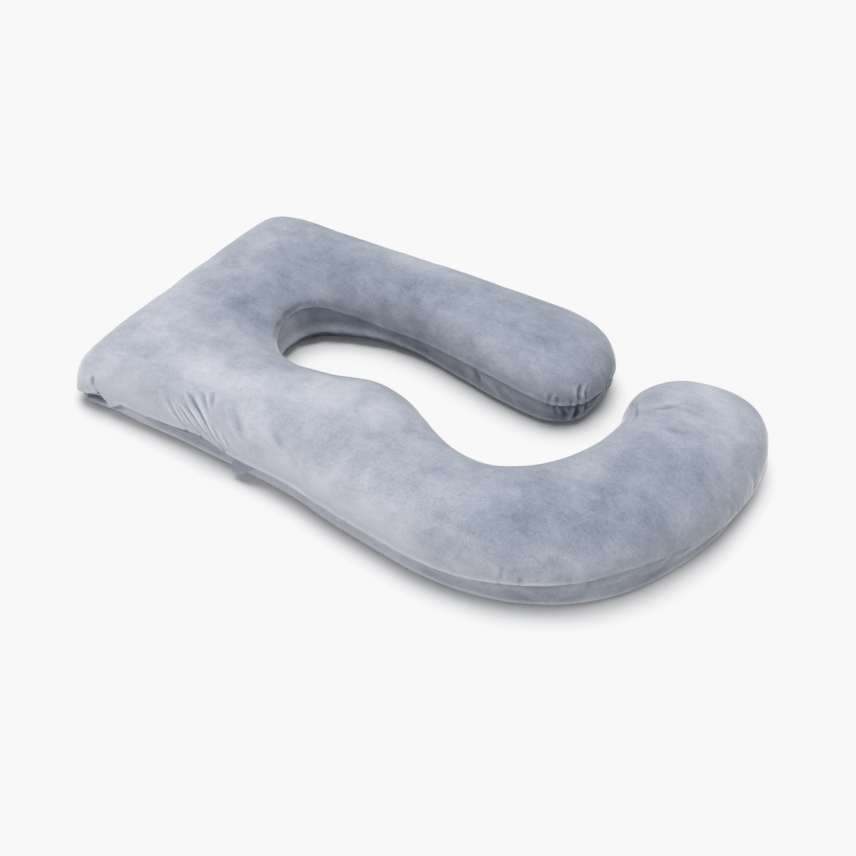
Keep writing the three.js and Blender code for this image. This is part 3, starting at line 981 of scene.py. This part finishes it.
class PillowShape(bpy.types.PropertyGroup):
    """How the filled cover is shaped."""

    filling_push: bpy.props.FloatProperty(
        name="Filling push", description="Pressure of the filling on the cover", default=4.0, min=0
    )
    seam_shrink: bpy.props.FloatProperty(
        name="Seam shrink", description="Share by which sewing draws the seams in",
        default=0.08, min=0, max=0.3,
    )
    settle_frames: bpy.props.IntProperty(
        name="Settling", description="Steps in which the cover settles", default=20, min=2
    )
    fold_size: bpy.props.IntProperty(
        name="Fold size", description="Rounds of easing that part small folds from the form",
        default=14, min=1,
    )
    settle_strength: bpy.props.FloatProperty(
        name="Settled folds", description="Share of the settled folds that is kept", default=0.35, min=0
    )
    fold_cap: bpy.props.FloatProperty(
        name="Fold cap", description="Furthest that a settled point may move",
        default=0.006, min=0, unit="LENGTH",
    )
    fold_strength: bpy.props.FloatProperty(
        name="Fold strength", description="Share of the placed folds' depth", default=1.0, min=0
    )
    fill: bpy.props.FloatProperty(
        name="Fill", description="How full the pillow is, from slack to tight", default=0.75, min=0, max=1
    )


class PlushLook(bpy.types.PropertyGroup):
    """Colours and pile of the velvet, and how strong its painted light and shade are."""

    # The tone ramp: the cloth's own colours, along which the painted light and shade of the zones and
    # patches also move the tone.
    deep_nap: bpy.props.FloatVectorProperty(
        name="Deep nap", description="Where the pile lies away from the light", subtype="COLOR",
        default=(0.115, 0.136, 0.178), min=0, max=1,
    )
    middle_nap: bpy.props.FloatVectorProperty(
        name="Middle nap", description="The cloth's usual colour", subtype="COLOR",
        default=(0.303, 0.33, 0.397), min=0, max=1,
    )
    light_nap: bpy.props.FloatVectorProperty(
        name="Light nap", description="Where the pile lies to the light", subtype="COLOR",
        default=(0.542, 0.55, 0.62), min=0, max=1,
    )
    patch_scale: bpy.props.FloatProperty(
        name="Patch scale", description="Patches of brushed nap in a metre", default=4.0, min=0.1
    )
    speckle: bpy.props.FloatProperty(
        name="Speckle", description="Unevenness of single tufts", default=0.5, min=0
    )
    # Painted highlight along a seam's lip, where the panel's edge catches the light.
    painted_lip_highlight: bpy.props.FloatProperty(
        name="Lip light", description="How much the open pile at a seam's lip shows lighter", default=0.22
    )
    # Painted shade in the groove under a seam's overhanging lip.
    painted_groove_shade: bpy.props.FloatProperty(
        name="Groove dark", description="How much the pressed pile under a seam shows darker",
        default=0.42,
    )
    # Scales the painted light and shade on the shoulders over the seams and on the under panels.
    painted_light_and_shade: bpy.props.FloatProperty(
        name="Turned pile", description="How much the turned pile of the shoulder and the walls shows",
        default=1.0,
    )
    # Painted highlight along the roll at the foot of the under panel.
    painted_roll_highlight: bpy.props.FloatProperty(
        name="Roll light", description="How much the roll along the foot shows lighter", default=0.6
    )
    # Painted shade in the folds' valleys and painted highlight on their ridges.
    painted_crease_shade_and_ridge_light: bpy.props.FloatProperty(
        name="Crease dark",
        description="How much the pile in a fold shows darker, and on its ridges lighter",
        default=0.5,
    )
    pile_bump: bpy.props.FloatProperty(
        name="Pile bump", description="Strength of the pile's relief", default=0.35
    )
    pile_height: bpy.props.FloatProperty(
        name="Pile height", description="Length of the pile", default=0.0016, unit="LENGTH"
    )
    sheen: bpy.props.FloatProperty(
        name="Sheen", description="Light caught by the pile at its rims", default=1.0
    )
    sheen_spread: bpy.props.FloatProperty(
        name="Sheen spread", description="Softness of the sheen", default=0.32
    )
    sheen_tint: bpy.props.FloatVectorProperty(
        name="Sheen tint", description="Colour of the sheen", subtype="COLOR",
        default=(0.95, 0.94, 0.95), min=0, max=1,
    )
    flap_darker: bpy.props.FloatProperty(
        name="Flap darker", description="How much deeper the flap's nap lies", default=0.15
    )


class StudioLook(bpy.types.PropertyGroup):
    """Camera, floor and light."""

    azimuth: bpy.props.FloatProperty(
        name="Azimuth", description="Camera's turn round the pillow",
        default=math.radians(30.88), subtype="ANGLE",
    )
    elevation: bpy.props.FloatProperty(
        name="Elevation", description="Camera's height above the horizon",
        default=math.radians(41), subtype="ANGLE",
    )
    distance: bpy.props.FloatProperty(
        name="Distance", description="From the camera to what it looks at", default=2.786, unit="LENGTH"
    )
    target: bpy.props.FloatVectorProperty(
        name="Target", description="Point on the floor that the camera looks at",
        default=(0.0267, -0.0116, 0), subtype="TRANSLATION", unit="LENGTH",
    )
    lens: bpy.props.FloatProperty(name="Lens", description="Focal length in millimetres", default=52.57)
    dome: bpy.props.FloatProperty(name="Dome", description="Light from all round", default=0.23)
    backdrop: bpy.props.FloatProperty(
        name="Backdrop", description="Brightness that shows beyond the floor's edge", default=1.0
    )
    key: bpy.props.FloatProperty(
        name="Key", description="Strength of the soft light above", default=3.08
    )
    key_azimuth: bpy.props.FloatProperty(
        name="Key azimuth", description="Where the soft light comes from, turned from the front",
        default=math.radians(215), subtype="ANGLE",
    )
    key_elevation: bpy.props.FloatProperty(
        name="Key elevation", description="Height of the soft light",
        default=math.radians(78), subtype="ANGLE",
    )
    key_softness: bpy.props.FloatProperty(
        name="Key softness", description="Width of the soft light in the sky",
        default=math.radians(50), subtype="ANGLE",
    )
    fill: bpy.props.FloatProperty(
        name="Fill", description="Strength of the light from the front", default=1.35
    )
    fill_azimuth: bpy.props.FloatProperty(
        name="Fill azimuth", description="Where the front light comes from, turned from the front",
        default=math.radians(10), subtype="ANGLE",
    )
    fill_elevation: bpy.props.FloatProperty(
        name="Fill elevation", description="Height of the front light",
        default=math.radians(10), subtype="ANGLE",
    )
    fill_softness: bpy.props.FloatProperty(
        name="Fill softness", description="Width of the front light in the sky",
        default=math.radians(40), subtype="ANGLE",
    )
    floor_pale: bpy.props.FloatProperty(
        name="Floor", description="Share of light that the floor shows to the camera",
        default=0.85, min=0, max=1,
    )
    floor_bounce: bpy.props.FloatProperty(
        name="Floor bounce", description="Share of light that the floor throws back",
        default=0.5, min=0, max=1,
    )
    white_level: bpy.props.FloatProperty(
        name="White level", description="Brightness at which the floor stops getting lighter",
        default=0.937,
    )
    white_start: bpy.props.FloatProperty(
        name="White start", description="Brightness up to which tones are left as they are", default=0.8
    )
    floor_size: bpy.props.FloatProperty(
        name="Floor size", description="Side of the floor", default=24.0, unit="LENGTH"
    )


# The camera's film width, and the view curve that all colours share.
SENSOR_WIDTH = 36
COMBINED_CURVE = 3


def pointing(azimuth, elevation):
    """Unit vector from the pillow towards a place given by its turn from the front and its height."""
    flat = math.cos(elevation)
    return Vector((math.sin(azimuth) * flat, -math.cos(azimuth) * flat, math.sin(elevation)))


class PILLOW_OT_plush_body(bpy.types.Operator):
    """Build the filled plush pillow over its solid"""

    bl_idname = "pillow.plush_body"
    bl_label = "Plush body"

    def execute(self, context):
        shape, look = context.scene.pillow_shape, context.scene.plush_look
        places = ring_places()
        rings, seams = plain_loft(places)
        shift = table_shift(rings)
        measured = panel_places(rings, seams, places)
        formed = loosen(rings, measured)
        share = near_seams(rings, measured, SETTLE_REACH, SETTLE_LEAST) * roomy(rings)
        formed += settle(rings, shape) * share[..., None]
        formed = shape_seams(formed, places, measured)
        depth = fold_depths(rings, measured)
        formed -= outward(formed) * depth[..., None] * shape.fold_strength
        formed[..., 2] = np.maximum(formed[..., 2], 0)
        mesh = closed_mesh("plush_body", round_ends(formed) + shift)
        self.paint(mesh, rings, places, measured, depth)
        material = plush_material("Plush", look, nap_groups(), darker=0.0)
        piece = add_piece("plush_body", mesh, material)
        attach(piece, "root")
        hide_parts("pillow")
        return {"FINISHED"}

    def paint(self, mesh, rings, places, measured, depth):
        """Stores where light and shade are painted: a highlight at a lip, shade in a groove and in folds,
        light and shade on the shoulders and walls, and a highlight along the roll.
        """
        zones = {name: np.zeros(rings.shape[:2]) for name in ZONES}
        for name, lip, foot in (("inner", INNER_LIP, INNER_ROLL), ("outer", 1, 1)):
            wall = panel_slice(name, "under")
            above = measured[name]["top"]
            below = measured[name]["under"]
            edge, roll, _ = side_values(name, places)
            # Painted highlight along the lip of the seam.
            zones["lip"][:, TOP_PANEL] += lip * edge * bell(above, LIP_WIDTH)
            # Painted light and shade on the top panel's shoulder over the seam.
            painted = zone_values(PAINTED_LIGHT_AND_SHADE_ZONES, name + "_shoulder", 0, places)[:, None]
            zones["shoulder"][:, TOP_PANEL] += painted * bell(above, SHOULDER_WIDTH)
            # Painted shade in the groove past the tuck, below the lip.
            past_tuck = np.maximum(below - TUCK * edge, 0)
            zones["groove"][:, wall] = edge * bell(past_tuck, GROOVE_WIDTH)
            # Painted light and shade on the under panel, clear of the lip.
            painted = zone_values(PAINTED_LIGHT_AND_SHADE_ZONES, name + "_wall", 0, places)[:, None]
            zones["wall"][:, wall] = painted * (1 - bell(below, LIP_WIDTH))
            # Painted highlight along the roll at the foot.
            lift = rings[:, wall, 2] - rings[:, FLOOR, 2].mean(1, keepdims=True)
            zones["roll"][:, wall] = foot * roll_share(lift, roll)
        # Painted shade in the folds and painted highlight on their ridges.
        zones["crease"] = np.clip(depth / CREASE_FULL, -CREASE_RIDGE, 1)
        for name, values in zones.items():
            self.store_rings(mesh, name, values)

    def store_rings(self, mesh, name, values):
        """Stores values of the rings, which the closed ends take on."""
        ends = [np.repeat(values[place : place + 1], CAP_RINGS, axis=0) for place in (0, len(values) - 1)]
        whole = np.concatenate([ends[0], values, ends[1]]).reshape(-1)
        store(mesh, name, np.concatenate([whole, whole[:1], whole[-1:]]))


def flap_grid():
    """Front face of the flap in its own millimetres: along the seam, out from it and down."""
    steps, drops = FLAP_STEPS
    share, fall = np.meshgrid(np.linspace(0, 1, steps + 1), np.linspace(0, 1, drops + 1), indexing="ij")
    length = FLAP_LENGTH + (FLAP_FOOT_LENGTH - FLAP_LENGTH) * fall
    wave = FLAP_WAVE * np.sin(FLAP_HALF_WAVES * math.pi * share) * fall
    out = -(FLAP_GAP + FLAP_THICKNESS / 2 + FLAP_STAND_OUT * fall**FLAP_CURL + wave)
    drop = FLAP_DROP * fall * (1 - FLAP_FOOT_RISE * share)
    return np.stack([share * length, out, -drop], axis=-1)


class PILLOW_OT_zip_flap(bpy.types.Operator):
    """Build the small flap that covers the end of the zip"""

    bl_idname = "pillow.zip_flap"
    bl_label = "Zip flap"

    def execute(self, context):
        look = context.scene.plush_look
        places = ring_places()
        rings, seams = plain_loft(places)
        line = seams["outer"]
        ring = int(np.argmin(np.abs(places - RIB_PLACE["zip_end"])))
        run = (line[ring + 1] - line[ring - 1]) * (1, 1, 0)
        run /= np.linalg.norm(run)
        side = np.array((-run[1], run[0], 0))
        grid = flap_grid()
        flat = grid[..., :1] * run + grid[..., 1:2] * side + grid[..., 2:] * np.array((0, 0, 1))
        front = flat + line[ring] + table_shift(rings)
        mesh = self.cloth_mesh(front)
        material = plush_material("Plush flap", look, nap_groups(), look.flap_darker)
        piece = add_piece("zip_flap", mesh, material)
        thick = piece.modifiers.new("thickness", "SOLIDIFY")
        thick.thickness = FLAP_THICKNESS * MM
        thick.offset = 0
        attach(piece, "root")
        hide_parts("zip_tab")
        return {"FINISHED"}

    def cloth_mesh(self, front):
        """Mesh of the flap's middle layer, with its foot's edge as a lip that carries a painted
        highlight.
        """
        along, down = front.shape[:2]
        spot = np.arange(along * down).reshape(along, down)
        corners = (spot[:-1, :-1], spot[:-1, 1:], spot[1:, 1:], spot[1:, :-1])
        faces = np.stack(corners, axis=-1).reshape(-1, 4)
        mesh = bpy.data.meshes.new("zip_flap")
        mesh.from_pydata((front.reshape(-1, 3) * MM).tolist(), [], faces.tolist())
        mesh.update()
        zones = {name: np.zeros((along, down)) for name in ZONES}
        # Painted highlight along the flap's foot.
        zones["lip"][:, -FLAP_LIP_ROWS:] = 1
        for name, values in zones.items():
            store(mesh, name, values.reshape(-1))
        return mesh


class PILLOW_OT_pale_studio(bpy.types.Operator):
    """Set up the pale floor, the soft light and the camera"""

    bl_idname = "pillow.pale_studio"
    bl_label = "Pale studio"

    def execute(self, context):
        scene, studio = context.scene, context.scene.studio_look
        self.tones(scene.view_settings, studio)
        self.camera(scene, studio)
        self.light(scene, studio)
        self.floor(scene, studio)
        return {"FINISHED"}

    def tones(self, view, studio):
        """Plain tones, with the lightest ones levelled off just under white."""
        view.view_transform = "Standard"
        view.use_curve_mapping = True
        curve = view.curve_mapping.curves[COMBINED_CURVE]
        curve.points[-1].location = (1, studio.white_level)
        curve.points.new(studio.white_start, studio.white_start)
        view.curve_mapping.extend = "HORIZONTAL"
        view.curve_mapping.update()

    def camera(self, scene, studio):
        """Camera turned to the pillow."""
        camera = bpy.data.objects.new("camera", bpy.data.cameras.new("camera"))
        scene.collection.objects.link(camera)
        camera.data.lens = studio.lens
        camera.data.sensor_width = SENSOR_WIDTH
        back = pointing(studio.azimuth, studio.elevation)
        camera.location = Vector(studio.target) + back * studio.distance
        camera.rotation_euler = (-back).to_track_quat("-Z", "Y").to_euler()
        scene.camera = camera

    def light(self, scene, studio):
        """Dim light from all round, seen as a pale backdrop, and two soft lights."""
        world = bpy.data.worlds.new("pale_dome")
        scene.world = world
        world.use_nodes = True
        dome = world.node_tree.nodes["Background"]
        dome.inputs["Color"].default_value = (1, 1, 1, 1)
        board = NodeBoard(world.node_tree)
        seen = board.add("ShaderNodeLightPath").outputs["Is Camera Ray"]
        shown = board.math("MULTIPLY_ADD", seen, studio.backdrop - studio.dome, studio.dome)
        board.tree.links.new(shown, dome.inputs["Strength"])
        for name in ("key", "fill"):
            lamp = bpy.data.objects.new(name, bpy.data.lights.new(name, "SUN"))
            scene.collection.objects.link(lamp)
            lamp.data.energy = getattr(studio, name)
            lamp.data.angle = getattr(studio, name + "_softness")
            towards = pointing(getattr(studio, name + "_azimuth"), getattr(studio, name + "_elevation"))
            lamp.location = towards * studio.distance
            lamp.rotation_euler = (-towards).to_track_quat("-Z", "Y").to_euler()

    def floor(self, scene, studio):
        """Pale floor that throws back less light than it shows."""
        half = studio.floor_size / 2
        mesh = bpy.data.meshes.new("floor")
        corners = [(-half, -half, 0), (half, -half, 0), (half, half, 0), (-half, half, 0)]
        mesh.from_pydata(corners, [], [(0, 1, 2, 3)])
        material = bpy.data.materials.new("Pale floor")
        material.use_nodes = True
        board = NodeBoard(material.node_tree)
        surface = material.node_tree.nodes["Principled BSDF"]
        seen = board.add("ShaderNodeLightPath").outputs["Is Camera Ray"]
        paler = studio.floor_pale - studio.floor_bounce
        shown = board.math("MULTIPLY_ADD", seen, paler, studio.floor_bounce)
        board.tree.links.new(shown, surface.inputs["Base Color"])
        surface.inputs["Roughness"].default_value = 1.0
        surface.inputs["Specular IOR Level"].default_value = 0.0
        floor = add_piece("floor", mesh, material)


class PILLOW_PT_sidebar(bpy.types.Panel):
    """Sizes, looks and build buttons of the pillow"""

    bl_idname = "PILLOW_PT_sidebar"
    bl_label = "Plush body pillow"
    bl_space_type = "VIEW_3D"
    bl_region_type = "UI"
    bl_category = "Pillow"

    def draw(self, context):
        for group in ("pillow_shape", "plush_look", "studio_look"):
            box = self.layout.box()
            settings = getattr(context.scene, group)
            for name in settings.__annotations__:
                box.prop(settings, name)
        for operator in OPERATORS:
            self.layout.operator(operator.bl_idname)


GROUPS = {"pillow_shape": PillowShape, "plush_look": PlushLook, "studio_look": StudioLook}
OPERATORS = (PILLOW_OT_plush_body, PILLOW_OT_zip_flap, PILLOW_OT_pale_studio)


def register():
    for cls in (*GROUPS.values(), *OPERATORS, PILLOW_PT_sidebar):
        bpy.utils.register_class(cls)
    for name, group in GROUPS.items():
        setattr(bpy.types.Scene, name, bpy.props.PointerProperty(type=group))


def unregister():
    for name in GROUPS:
        delattr(bpy.types.Scene, name)
    for cls in (PILLOW_PT_sidebar, *reversed(OPERATORS), *reversed(GROUPS.values())):
        bpy.utils.unregister_class(cls)


def main():
    register()
    bpy.ops.pillow.plush_body()
    bpy.ops.pillow.zip_flap()
    bpy.ops.pillow.pale_studio()


if __name__ == "__main__":
    main()
